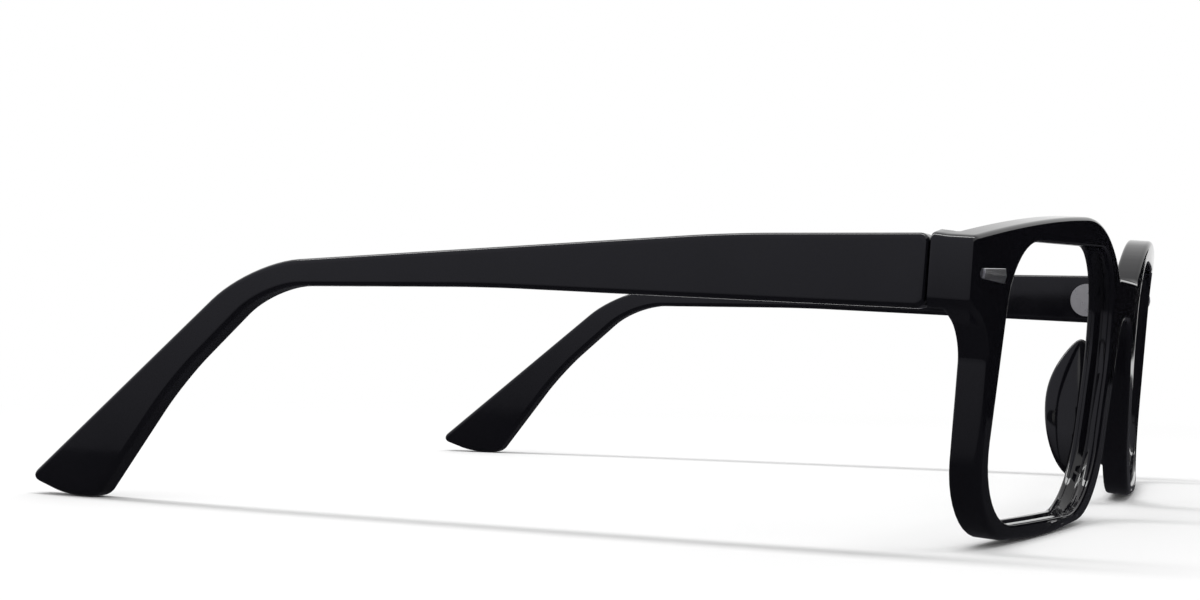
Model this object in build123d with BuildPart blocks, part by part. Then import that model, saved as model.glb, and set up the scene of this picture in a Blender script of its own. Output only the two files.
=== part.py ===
# Acetate eyeglasses frame: a curved front with two rims, and two temples on five-barrel hinges.
# Millimetres. +X is the wearer's left, +Y runs back along the temples and +Z is up.
# The rims and the temple tips stand on Z = 0, and the origin is under the middle of the frame.
import os
from math import cos, hypot, radians, sin, sqrt, tan

from build123d import *

# ---- whole frame
half_width = 68.5           # middle of the bridge to the outer side of an end piece
joint_y = -66.3             # where each temple butts against its end piece
end_piece_depth = 5.5       # front face to that butt joint, at the end piece's outer side
tilt = 4.35                 # degrees that the front leans, its top forward
wrap_radius = 316.0         # bend of the front, seen from above
joint_gap = 0.08            # open seam between end piece and temple

# ---- front
front_thickness = 3.8
front_edge_round = 0.65     # front edges of the rims and bridge
back_edge_round = 0.45
brow_top = 42.9
brow_end = 37.6             # top of the front at the end pieces
brow_peak_x = 30.0          # where the brow is highest
end_piece_bottom = 29.3
rim_side_x = 62.3           # outer side of a rim, under the end piece
bridge_top = 35.5
bridge_bottom = 29.1
bridge_half = 8.3           # middle to where the brow starts to rise
arch_half = 4.9             # half width of the nose arch at its top
brow_rise_x = 9.2           # a point on the brow's rise: this far out from its start
brow_rise_drop = 1.85       # and this far under the brow's highest point
side_step = 0.2             # an end piece's side stands this far out of the front's outline
side_lean = 0.2             # the outline's side leans in this much towards its underside
flare_drop = 3.4            # end piece's underside to the corner of the flare below it
nasal_low_x = 13.0          # nasal corner of a rim, at the bottom
nasal_low_z = 1.3
rim_low_x = 38.0            # lowest point of a rim
rim_low_z = -0.15           # corner under the rim, which its large radius lifts to Z = 0
temporal_low_z = 0.9
outline_radii = [6.0, 10.0, 120.0, 14.0, 4.0]   # flare, temporal, bottom, nasal, arch

# ---- lens opening
opening_nasal_x = 11.4
opening_temporal_x = 60.9
opening_top = 39.6
opening_bottom = 1.9
opening_side_lean = 4.2     # the temporal side leans in this much towards its top
opening_top_fall = 1.6      # the top comes down this much towards the temple
opening_nasal_lean = 0.5
opening_nasal_z = 24.0      # where the nasal side turns outwards, beside the nose
opening_nasal_out = 5.5     # and how far out it comes by the bottom
opening_low_rise = 0.6      # the bottom rises this much towards the temple
opening_radii = [9.0, 10.0, 20.0, 14.0, 9.5]    # brow, bridge, nose, nasal and temporal corners
groove_depth = 0.75
groove_width = 1.5

# ---- end pieces
end_piece_top = 38.1
end_piece_inset = 0.97      # from the lens opening to the inner side of an end piece
end_piece_flank = 0.8       # its inner side leans out this much towards the temple
end_piece_lean = 0.25       # its outer side leans out this much towards the temple
bay_inner_x = 56.0          # the hinge bay is open towards the middle from here

# ---- temples
temple_thickness = 3.6
temple_length = 146.6       # butt to tip, along the temple
bent_length = 44.1          # corner of the bend to the tip, along the temple
temple_height = 9.1         # at the butt
temple_bottom = 29.4        # underside at the butt
toe_in = 1.735              # degrees that each temple closes in
temple_edge_round = 0.7
crown_at = 26.0             # where the top edge is highest, from the butt
crown_rise = 0.5
bend_top = 36.2             # height of the bend's outer corner
bend_under = 32.7           # and of its inner corner
bend_under_back = 3.0       # how far the inner corner is in front of the outer one
waist_share = 0.605         # the underside's corner, as a share of the length to the bend
waist_z = 32.3
neck_back = 29.6            # narrowest point of the bent end, from the tip
neck_z = 18.2
heel_back = 15.0            # front corner of the tip's underside, from the tip
heel_z = 0.2
toe_back = 9.1              # lowest corner of the tip
toe_z = -0.15
tip_z = 2.6                 # rearmost corner of the tip
temple_radii = [200.0, 28.0, 1.3, 20.0, 3.0, 60.0, 18.0, 300.0]  # from the crown to the waist

# ---- hinges
barrel_radius = 1.3
barrel_count = 5
barrel_height = 1.24
barrel_gap = 0.06
hinge_z = 33.9              # middle of the hinge
screw_radius = 0.7
screw_clearance = 0.05
screw_head_radius = 1.15
screw_head_height = 0.5
screw_head_round = 0.15
slot_width = 0.3
slot_depth = 0.22
swing_gap = 0.1             # between a turning barrel and the leaf in front of it
wall_gap = 0.2              # between a barrel and the acetate beside it
leaf_thickness = 1.0
leaf_proud = 0.3            # how far each leaf stands out of the acetate
front_leaf_length = 5.0
temple_leaf_length = 7.0
temple_leaf_start = 0.95
leaf_height = 6.2
leaf_inset = 0.1            # front leaf's outer end, in from the temple's inner face
leaf_corner_round = 1.6
leaf_end_margin = 0.1       # keeps the temple leaf's round end just short of a half circle
web_start = 0.5             # where a temple barrel's web meets its leaf
web_end = 3.2
web_inset = 0.4

# ---- core wires
wire_radius = 0.75
wire_clearance = 0.03
wire_start = 3.0            # from the butt
wire_end_back = 12.9        # from the tip
wire_end_z = 9.5
wire_bend_back = 0.5        # the wire's corner, behind the temple's own
wire_bend_rise = 0.4
wire_bend_radius = 24.0

# ---- nose pads
pad_thickness = 3.0
pad_depth = 5.1             # from the back of the rim
pad_half_height = 10.6
pad_z = 15.8
pad_toe = 22.0              # degrees that a pad opens towards the face
pad_slant = 16.5            # degrees that a pad leans with the side of the nose
pad_round = 1.2
pad_inset = 0.3             # pad's middle, in from the lens opening
pad_root = 0.5              # the fin's curve starts this far inside the rim
pad_cut = 2.0               # and its blank runs this far in, to be cut to the rim
# Shares of the pad's depth and half height at four points of its edge, from the top down.
pad_edge = [(0.24, 0.80), (0.72, 0.55), (1.0, 0.0), (0.75, -0.62)]

# ---- plaques
plaque_length = 6.0
plaque_low = 1.25           # height at the temporal end
plaque_high = 1.85          # height at the nasal end
plaque_proud = 0.45
plaque_sunk = 0.3
plaque_x = 62.8
plaque_z = 33.4
post_radius = 0.5
post_length = 1.6
post_spacing = 3.2


def front_depth(x):
    """How far the front's bend has gone back at a distance x from the middle."""
    return wrap_radius - sqrt(wrap_radius**2 - x**2)


# ---- worked out from the sizes above
hinge_x = half_width - temple_thickness - wall_gap - barrel_radius
stack_height = barrel_count * barrel_height + (barrel_count - 1) * barrel_gap
stack_bottom = hinge_z - stack_height / 2
barrel_pitch = barrel_height + barrel_gap
leaf_face_y = joint_y - barrel_radius - swing_gap
bay_y = leaf_face_y - leaf_proud
front_to_joint = end_piece_depth + front_depth(half_width)  # bridge to butt joint, along Y
rim_sag = front_depth(rim_low_x)
tilt_axis_y = joint_y - front_to_joint + bridge_top * tan(radians(tilt)) + rim_sag
flat_y = tilt_axis_y - rim_sag          # foremost line of the front before it is tilted
wrap_axis_y = flat_y + wrap_radius
inner_face_x = half_width - temple_thickness
outline_x = half_width - side_step
opening_brow_z = opening_top - opening_top_fall
opening_low_z = opening_bottom + opening_low_rise
opening_slope = opening_side_lean / (opening_brow_z - opening_low_z)
end_piece_inner_x = (
    opening_temporal_x - opening_slope * (end_piece_bottom - opening_low_z) + end_piece_inset
)
bend_at = temple_length - bent_length


def untilted_y(y, z):
    """Y in the front's own upright position of a point that the tilt brings to y."""
    return tilt_axis_y + (y - tilt_axis_y + z * sin(radians(tilt))) / cos(radians(tilt))


def on_front(edge, radius):
    """True for an edge on the curved face of this radius, away from the middle plane."""
    middle = edge @ 0.5
    on_face = abs(hypot(middle.X, middle.Y - wrap_axis_y) - radius) < 0.02
    return on_face and middle.X > 0.01


def mirrored(piece):
    """The same piece on the wearer's right."""
    with BuildPart() as other_side:
        mirror(piece, about=Plane.YZ)
    return other_side.part


def save(piece, name):
    piece.label = name
    export_step(piece, f"parts/{name}.step")


os.makedirs("parts", exist_ok=True)

# A temple is drawn on its outer face: distance back from the butt joint, and height.
temple_plane = Plane(
    origin=(half_width, joint_y, 0),
    x_dir=(-sin(radians(toe_in)), cos(radians(toe_in)), 0),
    z_dir=(cos(radians(toe_in)), sin(radians(toe_in)), 0),
)

# ---------------------------------------------------------------- outlines of the left half
# Outer outline of the front, from the middle of the brow round to the nose arch.
with BuildSketch(Plane.XZ) as front_outline:
    with BuildLine():
        Line((0, bridge_top), (bridge_half, bridge_top))
        nasal_rise = ThreePointArc(
            (bridge_half, bridge_top),
            (bridge_half + brow_rise_x, brow_top - brow_rise_drop),
            (brow_peak_x, brow_top),
        )
        TangentArc((brow_peak_x, brow_top), (outline_x, brow_end), tangent=nasal_rise % 1)
        Line((outline_x, brow_end), (outline_x - side_lean, end_piece_bottom))
        FilletPolyline(
            (outline_x - side_lean, end_piece_bottom),
            (rim_side_x, end_piece_bottom - flare_drop),
            (rim_side_x, temporal_low_z),
            (rim_low_x + 1, rim_low_z),
            (nasal_low_x, nasal_low_z),
            (arch_half, bridge_bottom),
            (0, bridge_bottom),
            radius=outline_radii,
        )
        Line((0, bridge_bottom), (0, bridge_top))
    make_face()

# Outline of the lens opening.
with BuildSketch(Plane.XZ) as opening_outline:
    with BuildLine():
        FilletPolyline(
            (opening_temporal_x - opening_side_lean, opening_brow_z),
            (opening_nasal_x + opening_nasal_lean, opening_top),
            (opening_nasal_x, opening_nasal_z),
            (opening_nasal_x + opening_nasal_out, opening_bottom),
            (opening_temporal_x, opening_low_z),
            radius=opening_radii,
            close=True,
        )
    make_face()

# The same outline at the bottom of the lens groove.
with BuildSketch(Plane.XZ) as groove_outline:
    add(opening_outline.sketch)
    offset(amount=groove_depth, kind=Kind.ARC)

# ---------------------------------------------------------------- frame front
# The ring of material that the lens groove takes out, in the middle of the front's thickness.
with BuildPart() as groove:
    with BuildSketch(Plane.XY.offset(-1)):
        with Locations((0, wrap_axis_y)):
            Circle(wrap_radius - (front_thickness - groove_width) / 2)
            Circle(wrap_radius - (front_thickness + groove_width) / 2, mode=Mode.SUBTRACT)
    extrude(amount=brow_top + 2)
    extrude(groove_outline.sketch, amount=-2 * joint_y, mode=Mode.INTERSECT)

# One half of the front, upright: a slice of a wide tube, cut to the outline.
with BuildPart() as front_half:
    with BuildSketch(Plane.XY.offset(-1)):
        with Locations((0, wrap_axis_y)):
            Circle(wrap_radius)
            Circle(wrap_radius - front_thickness, mode=Mode.SUBTRACT)
    extrude(amount=brow_top + 2)
    extrude(front_outline.sketch, amount=-2 * joint_y, mode=Mode.INTERSECT)
    fillet(edges().filter_by(lambda e: on_front(e, wrap_radius)), front_edge_round)
    fillet(edges().filter_by(lambda e: on_front(e, wrap_radius - front_thickness)), back_edge_round)
    # The end piece runs back from the rim to the temple.
    lug_back = untilted_y(joint_y, hinge_z)
    lug_front = flat_y + front_thickness / 2
    with BuildSketch(Plane.XY.offset(end_piece_bottom)):
        with BuildLine():
            Polyline(
                (end_piece_inner_x, lug_front + front_depth(end_piece_inner_x)),
                (end_piece_inner_x + end_piece_flank, lug_back),
                (half_width, lug_back),
                (half_width - end_piece_lean, lug_front + front_depth(half_width)),
                close=True,
            )
        make_face()
    extrude(amount=end_piece_top - end_piece_bottom)
    extrude(opening_outline.sketch, amount=-2 * joint_y, mode=Mode.SUBTRACT)
    opening_edges = edges(Select.LAST)
    fillet(opening_edges.filter_by(lambda e: on_front(e, wrap_radius)), front_edge_round)
    back_opening_edges = opening_edges.filter_by(
        lambda e: on_front(e, wrap_radius - front_thickness)
    )
    fillet(back_opening_edges, back_edge_round)
    add(groove.part, mode=Mode.SUBTRACT)

# Both halves, leaning, with the seats of the hinges, nose pads and plaques cut in.
with BuildPart() as front_upright:
    add(front_half.part)
    mirror(front_half.part, about=Plane.YZ)

tilt_axis = Axis((0, tilt_axis_y, 0), (1, 0, 0))
front_tilted = front_upright.part.rotate(tilt_axis, tilt)

# ---------------------------------------------------------------- hinges
# Front half of a hinge: a leaf on the end piece, with every second barrel from the bottom.
leaf_outer_x = inner_face_x - leaf_inset
with BuildPart() as hinge_front:
    with Locations((leaf_outer_x - front_leaf_length / 2, leaf_face_y - leaf_thickness / 2, hinge_z)):
        Box(front_leaf_length, leaf_thickness, leaf_height)
    fillet(edges().filter_by(Axis.Y).group_by(Axis.X)[0], leaf_corner_round)
    for level in range(0, barrel_count, 2):
        with BuildSketch(Plane.XY.offset(stack_bottom + level * barrel_pitch)):
            with Locations((hinge_x, joint_y)):
                Circle(barrel_radius)
            with Locations((hinge_x, (joint_y + leaf_face_y) / 2)):
                Rectangle(2 * barrel_radius, joint_y - leaf_face_y)
        extrude(amount=barrel_height)
    with Locations((hinge_x, joint_y, hinge_z)):
        Cylinder(screw_radius + screw_clearance, stack_height + 2, mode=Mode.SUBTRACT)

# Temple half: the barrels between, on a leaf let into the temple's inner face.
leaf_plane = temple_plane.offset(-temple_thickness - leaf_proud)
with BuildPart() as hinge_temple:
    with BuildSketch(leaf_plane):
        with Locations((temple_leaf_start + temple_leaf_length / 2, hinge_z)):
            Rectangle(temple_leaf_length, leaf_height)
        fillet(vertices().group_by(Axis.X)[-1], leaf_height / 2 - leaf_end_margin)
    extrude(amount=leaf_thickness)
    for level in range(1, barrel_count, 2):
        with BuildSketch(Plane.XY.offset(stack_bottom + level * barrel_pitch)):
            with Locations((hinge_x, joint_y)):
                Circle(barrel_radius)
            with BuildLine():
                Polyline(
                    (hinge_x - barrel_radius, joint_y),
                    (hinge_x + barrel_radius, joint_y),
                    (inner_face_x - leaf_proud / 2, joint_y + temple_leaf_start + web_start),
                    (inner_face_x - leaf_proud / 2, joint_y + temple_leaf_start + web_end),
                    (hinge_x - barrel_radius + web_inset, joint_y + temple_leaf_start),
                    close=True,
                )
            make_face()
        extrude(amount=barrel_height)
    with Locations((hinge_x, joint_y, hinge_z)):
        Cylinder(screw_radius + screw_clearance, stack_height + 2, mode=Mode.SUBTRACT)

# Hinge screw, with a slotted head on the top barrel.
with BuildPart() as hinge_screw:
    with BuildSketch(Plane.XY.offset(stack_bottom)):
        with Locations((hinge_x, joint_y)):
            Circle(screw_radius)
    extrude(amount=stack_height + barrel_gap)
    with BuildSketch(Plane.XY.offset(stack_bottom + stack_height + barrel_gap)):
        with Locations((hinge_x, joint_y)):
            Circle(screw_head_radius)
    extrude(amount=screw_head_height)
    fillet(edges().group_by(Axis.Z)[-1], screw_head_round)
    with Locations((hinge_x, joint_y, stack_bottom + stack_height + barrel_gap + screw_head_height)):
        Box(3 * screw_head_radius, slot_width, 2 * slot_depth, mode=Mode.SUBTRACT)

# ---------------------------------------------------------------- plaques
# Silver plaque on each end piece: a low ridged wedge with two posts into the front.
plaque_y = flat_y + front_depth(plaque_x)
plaque_turn = plaque_x / wrap_radius
plaque_plane = Plane(
    origin=(plaque_x, plaque_y, plaque_z),
    x_dir=(cos(plaque_turn), sin(plaque_turn), 0),
    z_dir=(sin(plaque_turn), -cos(plaque_turn), 0),
)
with BuildPart() as plaque_upright:
    with BuildSketch(plaque_plane.offset(-plaque_sunk)):
        with BuildLine():
            Polyline(
                (-plaque_length / 2, -plaque_high / 2),
                (plaque_length / 2, -plaque_low / 2),
                (plaque_length / 2, plaque_low / 2),
                (-plaque_length / 2, plaque_high / 2),
                close=True,
            )
        make_face()
    extrude(amount=plaque_sunk + plaque_proud / 2)
    top_face = faces().sort_by(Axis.Y)[0]
    chamfer(top_face.edges().group_by(SortBy.LENGTH)[-1], plaque_proud / 3, plaque_low / 3)
    with BuildSketch(plaque_plane.offset(-plaque_sunk)):
        with GridLocations(post_spacing, 1, 2, 1):
            Circle(post_radius)
    extrude(amount=-post_length)

plaque_left = plaque_upright.part.rotate(tilt_axis, tilt)

# ---------------------------------------------------------------- front, with its seats cut
with BuildPart() as frame_front:
    add(front_tilted)
    for side in (-1, 1):
        # Open bay on the inner side of the end piece, where the barrels turn.
        bay_width = inner_face_x - bay_inner_x
        with Locations((side * (inner_face_x - bay_width / 2), bay_y, hinge_z)):
            Box(
                bay_width,
                bay_width,
                3 * leaf_height,
                align=(Align.CENTER, Align.MIN, Align.CENTER),
                mode=Mode.SUBTRACT,
            )
    add(hinge_front.part, mode=Mode.SUBTRACT)
    add(mirrored(hinge_front.part), mode=Mode.SUBTRACT)
    add(plaque_left, mode=Mode.SUBTRACT)
    add(mirrored(plaque_left), mode=Mode.SUBTRACT)

# ---------------------------------------------------------------- nose pads
# Pad cemented to the back of the rim beside the nose: a rounded fin, cut to the rim behind it.
pad_x = opening_nasal_x - pad_inset
pad_y = flat_y + front_thickness + front_depth(pad_x)
pad_along = Vector(sin(radians(pad_toe)), cos(radians(pad_toe)), 0)
pad_up = Vector(-sin(radians(pad_slant)), 0, cos(radians(pad_slant)))
pad_plane = Plane(origin=(pad_x, pad_y, pad_z), x_dir=pad_along, z_dir=pad_along.cross(pad_up))
with BuildPart() as pad_upright:
    with BuildSketch(pad_plane):
        with BuildLine():
            Spline(
                (-pad_root, pad_half_height),
                *[(depth * pad_depth, height * pad_half_height) for depth, height in pad_edge],
                (-pad_root, -pad_half_height),
            )
            Polyline(
                (-pad_root, -pad_half_height),
                (-pad_cut, -pad_half_height),
                (-pad_cut, pad_half_height),
                (-pad_root, pad_half_height),
            )
        make_face()
    extrude(amount=pad_thickness / 2, both=True)
    fillet(edges().sort_by(SortBy.LENGTH)[-2:], pad_round)
    with Locations((0, wrap_axis_y, pad_z)):
        Cylinder(wrap_radius - front_thickness, 4 * pad_half_height, mode=Mode.INTERSECT)

nose_pad = pad_upright.part.rotate(tilt_axis, tilt)

# ---------------------------------------------------------------- temples
# The core wire runs along the middle of the temple and down its bent end, in a bore of its own.
wire_plane = temple_plane.offset(-temple_thickness / 2)
wire_z = temple_bottom + temple_height / 2


def round_rod(radius, start):
    """A rod of this radius on the wire's route, from this far behind the butt."""
    with BuildPart() as rod:
        with BuildLine(wire_plane) as route:
            FilletPolyline(
                (start, wire_z),
                (bend_at + wire_bend_back, wire_z + wire_bend_rise),
                (temple_length - wire_end_back, wire_end_z),
                radius=wire_bend_radius,
            )
        with BuildSketch(Plane(origin=route.line @ 0, z_dir=route.line % 0)):
            Circle(radius)
        sweep(path=route.line)
    return rod.part


core_wire = round_rod(wire_radius, wire_start)
wire_bore = round_rod(wire_radius + wire_clearance, 0)

def on_temple_face(edge):
    """True for an edge of the temple's outer or inner face."""
    distance_in = -temple_plane.to_local_coords(edge @ 0.5).Z
    return min(abs(distance_in), abs(distance_in - temple_thickness)) < 0.01


# Temple: a flat bar that narrows to the bend behind the ear and flares to its tip.
with BuildPart() as temple:
    with BuildSketch(temple_plane):
        with BuildLine():
            temple_top = temple_bottom + temple_height
            butt = joint_gap + temple_thickness * sin(radians(toe_in))
            butt_top = butt - (temple_top - hinge_z) * tan(radians(tilt))
            butt_bottom = butt + (hinge_z - temple_bottom) * tan(radians(tilt))
            FilletPolyline(
                (butt_top, temple_top),
                (crown_at, temple_top + crown_rise),
                (bend_at, bend_top),
                (temple_length, tip_z),
                (temple_length - toe_back, toe_z),
                (temple_length - heel_back, heel_z),
                (temple_length - neck_back, neck_z),
                (bend_at - bend_under_back, bend_under),
                (waist_share * bend_at, waist_z),
                (butt_bottom, temple_bottom),
                radius=temple_radii,
            )
            Line((butt_bottom, temple_bottom), (butt_top, temple_top))
        make_face()
    extrude(amount=-temple_thickness)
    fillet(edges().filter_by(on_temple_face), temple_edge_round)
    add(wire_bore, mode=Mode.SUBTRACT)
    add(hinge_temple.part, mode=Mode.SUBTRACT)

# ---------------------------------------------------------------- the finished pieces
save(frame_front.part, "frame_front")
left_pieces = {
    "nose_pad": nose_pad,
    "front_plaque": plaque_left,
    "hinge_front": hinge_front.part,
    "hinge_temple": hinge_temple.part,
    "hinge_screw": hinge_screw.part,
    "temple": temple.part,
    "core_wire": core_wire,
}
for name, piece in left_pieces.items():
    save(mirrored(piece), f"{name}_right")
    save(piece, f"{name}_left")
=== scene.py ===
import math

import bmesh
import bpy
from mathutils import Matrix, Vector


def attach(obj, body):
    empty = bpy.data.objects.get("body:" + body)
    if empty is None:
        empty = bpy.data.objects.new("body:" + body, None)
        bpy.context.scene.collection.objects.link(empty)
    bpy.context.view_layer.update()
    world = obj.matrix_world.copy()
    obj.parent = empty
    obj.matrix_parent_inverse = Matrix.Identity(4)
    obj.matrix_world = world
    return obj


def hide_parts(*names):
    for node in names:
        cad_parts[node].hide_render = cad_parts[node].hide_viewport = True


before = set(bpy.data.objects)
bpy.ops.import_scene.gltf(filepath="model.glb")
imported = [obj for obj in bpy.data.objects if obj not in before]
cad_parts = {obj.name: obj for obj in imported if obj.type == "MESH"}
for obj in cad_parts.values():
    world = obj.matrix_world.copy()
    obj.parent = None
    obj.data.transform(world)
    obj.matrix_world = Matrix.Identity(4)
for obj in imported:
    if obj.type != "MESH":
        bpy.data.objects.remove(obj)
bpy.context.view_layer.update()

# ---------------------------------------------------------------- frame front
# One sheet of black acetate, 3.8 mm thick, milled to shape and bent round the face while warm.
# Each rim has a lens groove, and the end pieces carry the hinges behind.
# It was tumbled and buffed, which leaves every edge round and the faces very slightly wavy.

front_thickness = 3.8
wrap_radius = 316.0
wrap_axis_y = 239.395
lean = math.radians(4.35)
lean_axis_y = -74.321
joint_y = -66.3
hinge_z = 33.9
bay_floor_y = -68.0
inner_face_x = 64.9         # inner side of a temple, where the hinge bay's outer wall stands
end_piece_inner_x = 58.7
cut_spacing = 1.5           # steps that let the sheet bend smoothly
rim_edge_round = 0.72
opening_edge_round = 0.42
back_edge_round = 0.45
butt_edge_round = 0.35
support_width = 0.8
groove_depth = 0.72
groove_width = 1.5
foot_step = 1.0             # drawn depth of each of the two steps behind the sheet
side_step = 0.16            # an end piece's side stands out this much more at the temple
top_rise = 0.15             # an end piece's top rises this much towards the temple
rise_height = 3.0           # height above the hinge over which that rise comes in
first_foot_share = 0.35     # how far back the foot's first step lies, outside the bay
side_margin = 1.5
brow_low = 35.5             # top of the bridge
brow_start_x = 8.3
brow_rise = ((28.0028, 13.2397), 45.3645)
brow_fall = ((11.5029, -231.8039), 7.695, 0.358)
foot_top_z = 37.95
foot_low_z = 29.3
foot_corner = 1.0
lower_outline = [
    (68.1, foot_low_z), (62.3, 25.9), (62.3, 0.9), (39.0, -0.15), (13.0, 1.3), (4.9, 29.1), (0, 29.1),
]
lower_corners = (3.44, 9.56, 6.05, 9.91, 3.0)
opening_outline = [(56.7, 38.0), (11.9, 39.6), (11.4, 24.0), (16.9, 1.9), (60.9, 2.5)]
opening_corners = (7.71, 10.04, 2.78, 11.1, 10.54)
opening_middle = (36, 20)
opening_inner_x = 11
border_reach = 60
groove_edge = 0.15          # half the width of the groove's narrow bottom
round_margin = 0.15         # keeps a cut this far clear of a rounded edge
half_cuts = 44
sharp_angle = math.radians(35)
level = 1e-4                # two places nearer than this are the same


def draw(bm, points):
    """Joins points given as (x, z) with straight lines."""
    corners = [bm.verts.new((x, 0, z)) for x, z in points]
    for start, end in zip(corners, corners[1:]):
        bm.edges.new((start, end))
    return corners


def swing(bm, last, centre, angle, steps):
    """Carries an outline on from its last point, round a centre."""
    spun = bmesh.ops.spin(
        bm, geom=[last], cent=(centre[0], 0, centre[1]), axis=(0, 1, 0),
        angle=math.radians(angle), steps=steps,
    )
    return [v for v in spun["geom_last"] if isinstance(v, bmesh.types.BMVert)][0]


def round_corner(bm, corner, length, steps=10):
    """Rounds an outline's corner, using up this length of each side."""
    rounded = bmesh.ops.bevel(
        bm, geom=[corner], offset=length, offset_type="OFFSET", segments=steps,
        profile=0.5, affect="VERTICES", material=-1,
    )
    return rounded["verts"]


def round_edges(bm, edges, radius, steps):
    """Gives sharp edges a round of this radius."""
    bmesh.ops.bevel(
        bm, geom=edges, offset=radius, offset_type="OFFSET", segments=steps,
        profile=0.5, affect="EDGES", clamp_overlap=False, material=-1,
    )


def cut(bm, place, normal, faces=None):
    """Cuts edges across the mesh, or across some of its faces, and takes nothing away."""
    parts = set(faces or bm.faces[:])
    edges = {e for f in parts for e in f.edges}
    verts = {v for f in parts for v in f.verts}
    geom = list(parts) + list(edges) + list(verts)
    bmesh.ops.bisect_plane(bm, geom=geom, dist=1e-5, plane_co=place, plane_no=normal)


def middle(item):
    return sum((v.co for v in item.verts), Vector()) / len(item.verts)


def is_sharp(edge):
    return len(edge.link_faces) == 2 and edge.calc_face_angle(0) > sharp_angle


front = bmesh.new()
# Half of the outer outline: two arcs for the brow, the end piece, and the rim round to the nose arch.
brow_start = draw(front, [(0, brow_low), (brow_start_x, brow_low)])[-1]
brow_peak = swing(front, brow_start, *brow_rise, 18)
foot_top = swing(front, brow_peak, brow_fall[0], brow_fall[1], 24)
side_top = swing(front, foot_top, brow_fall[0], brow_fall[2], 1)
lower = draw(front, lower_outline)
front.edges.new((side_top, lower[0]))
for corner, length in zip(lower[1:6], lower_corners):
    round_corner(front, corner, length)
round_corner(front, side_top, foot_corner, 5)
foot_low = min(round_corner(front, lower[0], foot_corner, 5), key=lambda v: v.co.z)

# The end piece's foot, where the sheet runs on back to the temple, is a face of its own.
foot_inner_top = front.verts.new((end_piece_inner_x, 0, foot_top_z))
foot_inner_low = front.verts.new((end_piece_inner_x, 0, foot_low_z))
foot_lines = [
    front.edges.new(pair)
    for pair in ((foot_top, foot_inner_top), (foot_inner_top, foot_inner_low), (foot_inner_low, foot_low))
]
foot_sides = [
    e for e in front.edges
    if all(v.co.x > foot_top.co.x - level and v.co.z > foot_low.co.z - level for v in e.verts)
]
bmesh.ops.contextual_create(front, geom=list(set(foot_sides + foot_lines)))

# The lens opening.
opening = draw(front, opening_outline)
front.edges.new((opening[-1], opening[0]))
for corner, length in zip(opening, opening_corners):
    round_corner(front, corner, length, 12)

everything = front.verts[:] + front.edges[:] + front.faces[:]
bmesh.ops.mirror(front, geom=everything, axis="X", merge_dist=level)
open_lines = [e for e in front.edges if not e.link_faces]
open_lines += [
    e for e in front.edges
    if len(e.link_faces) == 1 and min(abs(v.co.x) for v in e.verts) < foot_top.co.x - 0.01
    or len(e.link_faces) == 1 and max(v.co.z for v in e.verts) < foot_low_z + 0.01
    and min(abs(v.co.x) for v in e.verts) < border_reach
]
bmesh.ops.triangle_fill(
    front, use_beauty=True, use_dissolve=False, edges=list(set(open_lines)), normal=(0, -1, 0)
)

# A narrow border round the sheet keeps the faces flat up to their rounded edges.
bmesh.ops.recalc_face_normals(front, faces=front.faces[:])
bmesh.ops.inset_region(
    front, faces=front.faces[:], thickness=support_width, use_boundary=True, use_even_offset=True
)
sheet = bmesh.ops.extrude_face_region(front, geom=front.faces[:])
back_verts = [v for v in sheet["geom"] if isinstance(v, bmesh.types.BMVert)]
bmesh.ops.translate(front, verts=back_verts, vec=(0, front_thickness, 0))
bmesh.ops.recalc_face_normals(front, faces=front.faces[:])
cut(front, (inner_face_x, 0, 0), (1, 0, 0))
cut(front, (-inner_face_x, 0, 0), (1, 0, 0))


def step_back(bm, faces, distance):
    """Carries some of the back's faces further back, and gives back the faces at their end."""
    stepped = bmesh.ops.extrude_face_region(bm, geom=faces)["geom"]
    bmesh.ops.delete(bm, geom=faces, context="FACES_KEEP_BOUNDARY")
    bmesh.ops.translate(
        bm, verts=[v for v in stepped if isinstance(v, bmesh.types.BMVert)], vec=(0, distance, 0)
    )
    return [f for f in stepped if isinstance(f, bmesh.types.BMFace)]


def on_foot(face):
    """True for a back face of an end piece's foot."""
    place = middle(face)
    beside_rim = abs(place.x) > end_piece_inner_x and foot_low_z - 0.1 < place.z < foot_top_z
    return face.normal.y > 0.9 and beside_rim


foot_faces = [f for f in front.faces if on_foot(f)]
foot_ends = step_back(front, foot_faces, foot_step)
step_back(front, [f for f in foot_ends if abs(middle(f).x) > inner_face_x], foot_step)


def is_opening_wall(face):
    """True for a wall round a lens opening: it looks towards the opening's middle."""
    place = middle(face)
    towards = Vector((math.copysign(opening_middle[0], place.x) - place.x, 0, opening_middle[1] - place.z))
    return abs(face.normal.y) < 0.1 and abs(place.x) > opening_inner_x and face.normal.dot(towards) > 0


def faces_opening(edge):
    return any(is_opening_wall(f) for f in edge.link_faces)


def edges_at(bm, depth):
    return [e for e in bm.edges if all(abs(v.co.y - depth) < level for v in e.verts) and is_sharp(e)]


front_edges = edges_at(front, 0)
back_edges = [e for e in edges_at(front, front_thickness) if e.is_convex]
butt_edges = [e for e in edges_at(front, front_thickness + 2 * foot_step) if e.is_convex]
opening_edges = [e for e in front_edges if faces_opening(e)]
round_edges(front, [e for e in front_edges if e not in opening_edges], rim_edge_round, 5)
round_edges(front, opening_edges, opening_edge_round, 4)
round_edges(front, back_edges, back_edge_round, 4)
round_edges(front, butt_edges, butt_edge_round, 3)

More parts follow.
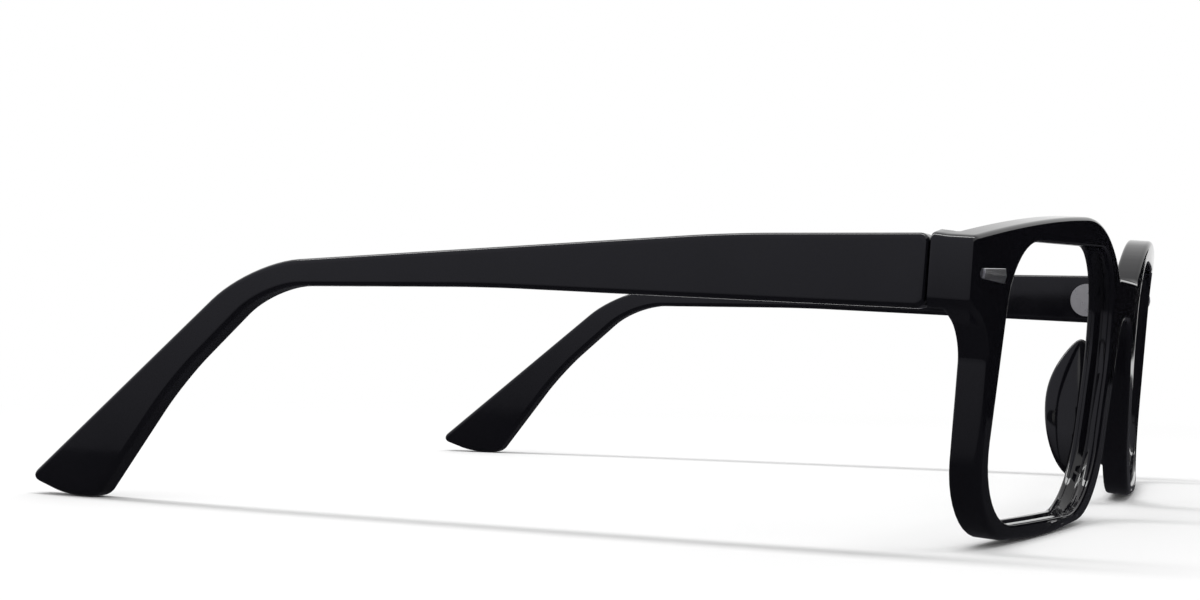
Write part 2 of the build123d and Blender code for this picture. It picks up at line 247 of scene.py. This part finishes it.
# The lens groove, a V milled round the middle of each opening's wall.
groove_front = (front_thickness - groove_width) / 2
groove_back = groove_front + groove_width
for depth in (groove_front, groove_back):
    cut(front, (0, depth, 0), (0, 1, 0), [f for f in front.faces if is_opening_wall(f)])
groove_faces = [
    f for f in front.faces if is_opening_wall(f) and groove_front < middle(f).y < groove_back
]
bmesh.ops.inset_region(
    front, faces=groove_faces, thickness=groove_width / 2 - groove_edge, depth=-groove_depth,
    use_boundary=True, use_even_offset=True,
)
for depth in (rim_edge_round + round_margin, front_thickness - back_edge_round - round_margin):
    cut(front, (0, depth, 0), (0, 1, 0))
for step in range(-half_cuts, half_cuts + 1):
    cut(front, (step * cut_spacing, 0, 0), (1, 0, 0))


def sheet_y(x, depth):
    """Where a point of the bent sheet lies, before the front leans."""
    return wrap_axis_y - math.sqrt((wrap_radius - depth) ** 2 - x * x)


def upright_y(y, z):
    """Where a point must lie before the front leans, to end at this y."""
    return lean_axis_y + (y - lean_axis_y + z * math.sin(lean)) / math.cos(lean)


# The flat sheet is bent, and its feet reach the hinge bay's floor and the butt joint.
butt = upright_y(joint_y, hinge_z)
for vert in front.verts:
    x, depth, z = vert.co
    y = sheet_y(x, min(depth, front_thickness))
    behind = (depth - front_thickness) / foot_step
    if behind > 0:
        back = y
        in_bay = abs(x) < inner_face_x + 0.001
        first = upright_y(bay_floor_y, z) if in_bay else back + first_foot_share * (butt - back)
        y = back + (first - back) * min(behind, 1)
        y += (butt - first) * max(behind - 1, 0)
        share = (y - back) / (butt - back)
        vert.co.z += top_rise * share * max(0, min(1, (z - hinge_z) / rise_height))
        if abs(x) > inner_face_x + side_margin:
            vert.co.x += math.copysign(side_step * share, x)
    vert.co.y = y
bmesh.ops.rotate(
    front, verts=front.verts[:], cent=(0, lean_axis_y, 0), matrix=Matrix.Rotation(lean, 3, "X")
)


def black_acetate(name):
    """Polished acetate: near black, with the soft unevenness that tumbling and buffing leave."""
    material = bpy.data.materials.new(name)
    material.use_nodes = True
    nodes, links = material.node_tree.nodes, material.node_tree.links
    shader = nodes["Principled BSDF"]
    place = nodes.new("ShaderNodeTexCoord")

    def pattern(scale, detail):
        noise = nodes.new("ShaderNodeTexNoise")
        noise.inputs["Scale"].default_value = scale
        noise.inputs["Detail"].default_value = detail
        links.new(place.outputs["Object"], noise.inputs["Vector"])
        return noise.outputs["Fac"]

    def between(value, low, high):
        spread = nodes.new("ShaderNodeMapRange")
        spread.inputs["From Min"].default_value = 0.3
        spread.inputs["From Max"].default_value = 0.7
        spread.inputs["To Min"].default_value = low
        spread.inputs["To Max"].default_value = high
        links.new(value, spread.inputs["Value"])
        return spread.outputs["Result"]

    colour = nodes.new("ShaderNodeValToRGB")
    colour.color_ramp.elements[0].color = (0.0022, 0.0022, 0.0032, 1)
    colour.color_ramp.elements[1].color = (0.0050, 0.0048, 0.0066, 1)
    links.new(pattern(90, 3), colour.inputs["Fac"])
    links.new(colour.outputs["Color"], shader.inputs["Base Color"])
    links.new(between(pattern(260, 4), 0.045, 0.10), shader.inputs["Roughness"])
    waves = nodes.new("ShaderNodeBump")
    waves.inputs["Strength"].default_value = 0.25
    waves.inputs["Distance"].default_value = 0.00006
    links.new(pattern(130, 1), waves.inputs["Height"])
    buffing = nodes.new("ShaderNodeBump")
    buffing.inputs["Strength"].default_value = 0.12
    buffing.inputs["Distance"].default_value = 0.00001
    links.new(pattern(2600, 2), buffing.inputs["Height"])
    links.new(waves.outputs["Normal"], buffing.inputs["Normal"])
    links.new(buffing.outputs["Normal"], shader.inputs["Normal"])
    shader.inputs["IOR"].default_value = 1.48
    return material


def finish(bm, name, material, body, slot, *nodes):
    """Makes a drawing into a piece that stands for its CAD nodes and moves with their body."""
    bmesh.ops.scale(bm, vec=(0.001, 0.001, 0.001), verts=bm.verts[:])
    for face in bm.faces:
        face.smooth = True
    mesh = bpy.data.meshes.new(name)
    bm.to_mesh(mesh)
    bm.free()
    mesh.materials.append(material)
    piece = bpy.data.objects.new(name, mesh)
    bpy.context.scene.collection.objects.link(piece)
    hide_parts(*nodes)
    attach(piece, body)
    return piece


acetate = black_acetate("black_acetate")
finish(front, "front_acetate", acetate, "front", "acetate", "frame_front")

# ---------------------------------------------------------------- nose pads
# Two fins of the same acetate, turned and polished apart and cemented to the back of the rims,
# where they stand open to the sides of the nose.

pad_depth = 5.1
pad_half_height = 10.6
pad_half_thickness = 1.5
pad_root = Vector((11.1, sheet_y(11.1, front_thickness), 15.8))
pad_toe = math.radians(22)
pad_slant = math.radians(16.5)
pad_sunk = 0.15
pad_top_slimming = 0.45
pad_edge_slimming = 0.35


def both_sides(bm):
    """The drawing for the wearer's left, and its mirror image for the right."""
    other = bm.copy()
    bmesh.ops.scale(other, vec=(-1, 1, 1), verts=other.verts[:])
    bmesh.ops.reverse_faces(other, faces=other.faces[:])
    return (("left", bm), ("right", other))


pad = bmesh.new()
bmesh.ops.create_uvsphere(pad, u_segments=64, v_segments=48, radius=1)
for vert in pad.verts:
    height = vert.co.z
    # The fin is fuller below and slimmer towards the top.
    vert.co.y *= 1 - pad_top_slimming * max(0, height) ** 2.5
    vert.co.x *= 1 - pad_edge_slimming * height * height
bmesh.ops.scale(pad, vec=(pad_half_thickness, pad_depth, pad_half_height), verts=pad.verts[:])
along = Vector((math.sin(pad_toe), math.cos(pad_toe), 0))
up = Vector((-math.sin(pad_slant), 0, math.cos(pad_slant)))
across = along.cross(up).normalized()
up = across.cross(along)
axes = Matrix((across, along, up)).transposed()
bmesh.ops.rotate(pad, verts=pad.verts[:], cent=(0, 0, 0), matrix=axes)
bmesh.ops.translate(pad, verts=pad.verts[:], vec=pad_root)
bmesh.ops.bisect_plane(
    pad, geom=pad.verts[:] + pad.edges[:] + pad.faces[:], dist=1e-5,
    plane_co=pad_root - Vector((0, pad_sunk, 0)), plane_no=(pad_root.x / wrap_radius, -1, 0),
    clear_outer=True,
)
bmesh.ops.holes_fill(pad, edges=[e for e in pad.edges if len(e.link_faces) == 1], sides=0)
bmesh.ops.recalc_face_normals(pad, faces=pad.faces[:])
bmesh.ops.rotate(
    pad, verts=pad.verts[:], cent=(0, lean_axis_y, 0), matrix=Matrix.Rotation(lean, 3, "X")
)
for side, drawing in both_sides(pad):
    finish(drawing, f"nose_pad_{side}_acetate", acetate, "front", "acetate", f"nose_pad_{side}")

# ---------------------------------------------------------------- plaques
# A small silver plaque on the front of each end piece: a cast and polished wedge with a ridge
# along its middle. Its two posts are pinned through the acetate, where they don't show.

plaque_half_length = 3.0
plaque_half_low = 0.625
plaque_half_high = 0.925
plaque_rise = 0.2
plaque_ridge = 0.22
plaque_sunk = 0.3
plaque_edge_round = 0.07
plaque_x = 62.8
plaque_z = 33.4
largest_round_face = 4e-7   # square metres; the plaque's larger faces stay flat


def silver_metal(name, tone, smoothest, roughest):
    """Polished plated metal, with fine wiping marks that vary its gloss."""
    material = bpy.data.materials.new(name)
    material.use_nodes = True
    nodes, links = material.node_tree.nodes, material.node_tree.links
    shader = nodes["Principled BSDF"]
    place = nodes.new("ShaderNodeTexCoord")
    marks = nodes.new("ShaderNodeTexNoise")
    marks.inputs["Scale"].default_value = 900
    marks.inputs["Detail"].default_value = 5
    links.new(place.outputs["Object"], marks.inputs["Vector"])
    colour = nodes.new("ShaderNodeValToRGB")
    colour.color_ramp.elements[0].color = tuple(0.86 * c for c in tone) + (1,)
    colour.color_ramp.elements[1].color = tuple(tone) + (1,)
    links.new(marks.outputs["Fac"], colour.inputs["Fac"])
    links.new(colour.outputs["Color"], shader.inputs["Base Color"])
    gloss = nodes.new("ShaderNodeMapRange")
    gloss.inputs["To Min"].default_value = smoothest
    gloss.inputs["To Max"].default_value = roughest
    links.new(marks.outputs["Fac"], gloss.inputs["Value"])
    links.new(gloss.outputs["Result"], shader.inputs["Roughness"])
    bump = nodes.new("ShaderNodeBump")
    bump.inputs["Strength"].default_value = 0.15
    bump.inputs["Distance"].default_value = 0.00001
    links.new(marks.outputs["Fac"], bump.inputs["Height"])
    links.new(bump.outputs["Normal"], shader.inputs["Normal"])
    shader.inputs["Metallic"].default_value = 1
    return material


plaque = bmesh.new()
outline = draw(plaque, [
    (-plaque_half_length, -plaque_half_high), (plaque_half_length, -plaque_half_low),
    (plaque_half_length, plaque_half_low), (-plaque_half_length, plaque_half_high),
])
plaque.edges.new((outline[-1], outline[0]))
bmesh.ops.contextual_create(plaque, geom=plaque.edges[:])
raised = bmesh.ops.extrude_face_region(plaque, geom=plaque.faces[:])["geom"]
bmesh.ops.translate(
    plaque, verts=[v for v in raised if isinstance(v, bmesh.types.BMVert)],
    vec=(0, -plaque_sunk - plaque_rise, 0),
)
bmesh.ops.recalc_face_normals(plaque, faces=plaque.faces[:])
cut(plaque, (0, 0, 0), (0, 0, 1), [f for f in plaque.faces if f.normal.y < -0.9])
for vert in plaque.verts:
    if abs(vert.co.z) < level and vert.co.y < -plaque_sunk:
        vert.co.y -= plaque_ridge
shown_edges = [e for e in plaque.edges if is_sharp(e) and middle(e).y < -plaque_rise / 2]
round_edges(plaque, shown_edges, plaque_edge_round, 2)
bmesh.ops.translate(plaque, verts=plaque.verts[:], vec=(0, plaque_sunk, 0))
bmesh.ops.rotate(
    plaque, verts=plaque.verts[:], cent=(0, 0, 0),
    matrix=Matrix.Rotation(plaque_x / wrap_radius, 3, "Z"),
)
bmesh.ops.translate(plaque, verts=plaque.verts[:], vec=(plaque_x, sheet_y(plaque_x, 0), plaque_z))
bmesh.ops.rotate(
    plaque, verts=plaque.verts[:], cent=(0, lean_axis_y, 0), matrix=Matrix.Rotation(lean, 3, "X")
)
silver = silver_metal("plaque_silver", (0.90, 0.90, 0.92), 0.36, 0.50)
for side, drawing in both_sides(plaque):
    piece = finish(
        drawing, f"plaque_{side}_silver", silver, "front", "plaque_silver", f"front_plaque_{side}"
    )
    for face in piece.data.polygons:
        face.use_smooth = len(face.vertices) == 4 and face.area < largest_round_face

# ---------------------------------------------------------------- temples
# Each temple is cut from acetate sheet with its core wire shot into it, bent behind the ear,
# tumbled, and toed in a little towards the head.

temple_thickness = 3.6
temple_edge_round = 0.7
toe_in = math.radians(1.735)
temple_face_x = 68.5
temple_margin = 0.12
temple_corners = [
    (-0.161, 38.5, 1.2), (26.0, 39.0, 5.58), (102.5, 36.2, 8.88), (146.2, 2.6, 2.3),
    (137.5, -0.15, 3.56), (131.6, 0.2, 1.32), (117.0, 18.2, 5.94), (99.5, 32.7, 6.6),
    (62.0, 32.3, 5.45), (0.531, 29.4, 1.2),
]

temple = bmesh.new()
outline = draw(temple, [(s, z) for s, z, length in temple_corners])
temple.edges.new((outline[-1], outline[0]))
for corner, (s, z, length) in zip(outline, temple_corners):
    round_corner(temple, corner, length, 12 if length > 1.3 else 6)
bmesh.ops.triangle_fill(
    temple, use_beauty=True, use_dissolve=False, edges=temple.edges[:], normal=(0, -1, 0)
)
bmesh.ops.recalc_face_normals(temple, faces=temple.faces[:])
bmesh.ops.inset_region(
    temple, faces=temple.faces[:], thickness=support_width, use_boundary=True, use_even_offset=True
)
slab = bmesh.ops.extrude_face_region(temple, geom=temple.faces[:])["geom"]
bmesh.ops.translate(
    temple, verts=[v for v in slab if isinstance(v, bmesh.types.BMVert)], vec=(0, temple_thickness, 0)
)
bmesh.ops.recalc_face_normals(temple, faces=temple.faces[:])
round_edges(temple, edges_at(temple, 0) + edges_at(temple, temple_thickness), temple_edge_round, 5)
for depth in (temple_edge_round + temple_margin, temple_thickness - temple_edge_round - temple_margin):
    cut(temple, (0, depth, 0), (0, 1, 0))
bmesh.ops.rotate(
    temple, verts=temple.verts[:], cent=(0, 0, 0),
    matrix=Matrix.Rotation(math.pi / 2 + toe_in, 3, "Z"),
)
bmesh.ops.translate(temple, verts=temple.verts[:], vec=(temple_face_x, joint_y, 0))
for side, drawing in both_sides(temple):
    finish(drawing, f"temple_{side}_acetate", acetate, f"temple_{side}", "acetate", f"temple_{side}")

# ---------------------------------------------------------------- core wires, hinges and screws
# Nickel silver wires stiffen the temples. The hinges are stamped and rolled steel, riveted from
# inside and polished, and each turns on one slotted screw.

hinge_steel = silver_metal("hinge_steel", (0.66, 0.65, 0.63), 0.20, 0.40)
screw_steel = silver_metal("screw_steel", (0.60, 0.60, 0.61), 0.18, 0.34)
wire_steel = silver_metal("wire_steel", (0.55, 0.55, 0.56), 0.30, 0.50)
for side in ("left", "right"):
    for node, metal in (
        (f"hinge_front_{side}", hinge_steel), (f"hinge_temple_{side}", hinge_steel),
        (f"hinge_screw_{side}", screw_steel), (f"core_wire_{side}", wire_steel),
    ):
        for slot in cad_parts[node].material_slots:
            slot.material = metal

# ---------------------------------------------------------------- the studio
# A pale floor that fades further off into an even white surround, one long soft light overhead, and three
# grey cards in front, at the side and over the floor, which only the gloss sees.

floor_half = 3              # metres, as are all sizes in the studio
paper_fades = (0.12, 0.35)
soft_light = 0.7
front_card_y = -0.16
side_card_x = -0.14
card_full_height = 0.05     # a card is at full tone from here up
card_low_tone = 0.35
strip_y = 0.1
strip_height = 0.7
camera_place = (-0.26519, -0.11919, 0.02522)
camera_yaw, camera_pitch, camera_roll = (math.radians(a) for a in (26.015, 1.283, 0.634))

floor = bmesh.new()
bmesh.ops.create_grid(floor, x_segments=1, y_segments=1, size=floor_half)
floor_mesh = bpy.data.meshes.new("floor")
floor.to_mesh(floor_mesh)
floor.free()
floor_piece = bpy.data.objects.new("floor", floor_mesh)
bpy.context.scene.collection.objects.link(floor_piece)
paper = bpy.data.materials.new("white_paper")
paper.use_nodes = True
sheet_nodes, sheet_links = paper.node_tree.nodes, paper.node_tree.links
sheet_nodes["Principled BSDF"].inputs["Base Color"].default_value = (0.92, 0.92, 0.92, 1)
sheet_nodes["Principled BSDF"].inputs["Roughness"].default_value = 0.8
sheet_nodes["Principled BSDF"].inputs["Specular IOR Level"].default_value = 0
# Further off, the flat paper fades into an even white glow, which stands for the white surround.
where = sheet_nodes.new("ShaderNodeTexCoord")
distance = sheet_nodes.new("ShaderNodeVectorMath")
distance.operation = "LENGTH"
sheet_links.new(where.outputs["Object"], distance.inputs[0])
fade = sheet_nodes.new("ShaderNodeMapRange")
fade.interpolation_type = "SMOOTHSTEP"
fade.inputs["From Min"].default_value = paper_fades[0]
fade.inputs["From Max"].default_value = paper_fades[1]
sheet_links.new(distance.outputs["Value"], fade.inputs["Value"])
white = sheet_nodes.new("ShaderNodeEmission")
blend = sheet_nodes.new("ShaderNodeMixShader")
sheet_links.new(fade.outputs["Result"], blend.inputs["Fac"])
sheet_links.new(sheet_nodes["Principled BSDF"].outputs["BSDF"], blend.inputs[1])
sheet_links.new(white.outputs["Emission"], blend.inputs[2])
sheet_links.new(blend.outputs["Shader"], sheet_nodes["Material Output"].inputs["Surface"])
floor_mesh.materials.append(paper)

surround = bpy.data.worlds.new("surround")
bpy.context.scene.world = surround
surround.use_nodes = True
sky, sky_links = surround.node_tree.nodes, surround.node_tree.links
sky["Background"].inputs["Color"].default_value = (1, 1, 1, 1)
rays = sky.new("ShaderNodeLightPath")
seen = sky.new("ShaderNodeMath")
seen.operation = "ADD"
sky_links.new(rays.outputs["Is Camera Ray"], seen.inputs[0])
sky_links.new(rays.outputs["Is Glossy Ray"], seen.inputs[1])
shown = sky.new("ShaderNodeMath")
shown.operation = "ADD"
sky_links.new(seen.outputs[0], shown.inputs[0])
sky_links.new(rays.outputs["Is Transmission Ray"], shown.inputs[1])
strength = sky.new("ShaderNodeMapRange")
strength.inputs["To Min"].default_value = soft_light
sky_links.new(shown.outputs[0], strength.inputs["Value"])
sky_links.new(strength.outputs["Result"], sky["Background"].inputs["Strength"])


def card(name, corners, tone):
    """A grey card that only the gloss sees, darker towards the floor."""
    drawing = bmesh.new()
    drawing.faces.new([drawing.verts.new(corner) for corner in corners])
    mesh = bpy.data.meshes.new(name)
    drawing.to_mesh(mesh)
    drawing.free()
    paint = bpy.data.materials.new(name)
    paint.use_nodes = True
    nodes, links = paint.node_tree.nodes, paint.node_tree.links
    glow = nodes.new("ShaderNodeEmission")
    glow.inputs["Color"].default_value = (tone, tone, 1.12 * tone, 1)
    place = nodes.new("ShaderNodeTexCoord")
    height = nodes.new("ShaderNodeSeparateXYZ")
    links.new(place.outputs["Object"], height.inputs[0])
    brighter = nodes.new("ShaderNodeMapRange")
    brighter.inputs["From Max"].default_value = card_full_height
    brighter.inputs["To Min"].default_value = card_low_tone
    links.new(height.outputs["Z"], brighter.inputs["Value"])
    links.new(brighter.outputs["Result"], glow.inputs["Strength"])
    links.new(glow.outputs["Emission"], nodes["Material Output"].inputs["Surface"])
    mesh.materials.append(paint)
    flag = bpy.data.objects.new(name, mesh)
    bpy.context.scene.collection.objects.link(flag)
    flag.visible_camera = False
    flag.visible_diffuse = False
    flag.visible_shadow = False


card("front_flag", [(x, front_card_y, z) for x, z in ((-0.3, 0), (2.5, 0), (2.5, 0.1), (-0.3, 0.1))], 0.004)
card("side_flag", [(side_card_x, y, z) for y, z in ((-0.16, 0), (1.2, 0), (1.2, 0.5), (-0.16, 0.5))], 0.45)
card("table_flag", [(x, y, 0.0002) for x, y in ((-0.5, -0.6), (0.6, -0.6), (0.6, 0.6), (-0.5, 0.6))], 0.12)


def softbox(name, place, target, width, height, watts):
    light = bpy.data.lights.new(name, "AREA")
    light.shape = "RECTANGLE"
    light.size = width
    light.size_y = height
    light.energy = watts
    lamp = bpy.data.objects.new(name, light)
    lamp.location = place
    lamp.rotation_euler = (Vector(target) - Vector(place)).to_track_quat("-Z", "Y").to_euler()
    bpy.context.scene.collection.objects.link(lamp)
    return lamp


overhead = softbox("overhead", (0, strip_y, strip_height), (0, strip_y, 0), 0.1, 1.0, 3.0)
overhead.visible_camera = False

camera_data = bpy.data.cameras.new("camera")
camera_data.sensor_width = 36
camera_data.lens = 50.55
camera_data.shift_x = -0.00075
camera_data.shift_y = 0.0021
camera = bpy.data.objects.new("camera", camera_data)
bpy.context.scene.collection.objects.link(camera)
camera.matrix_world = (
    Matrix.Translation(camera_place)
    @ Matrix.Rotation(camera_yaw - math.pi / 2, 4, "Z")
    @ Matrix.Rotation(math.pi / 2 + camera_pitch, 4, "X")
    @ Matrix.Rotation(camera_roll, 4, "Z")
)
bpy.context.scene.camera = camera
bpy.context.scene.view_settings.view_transform = "Standard"
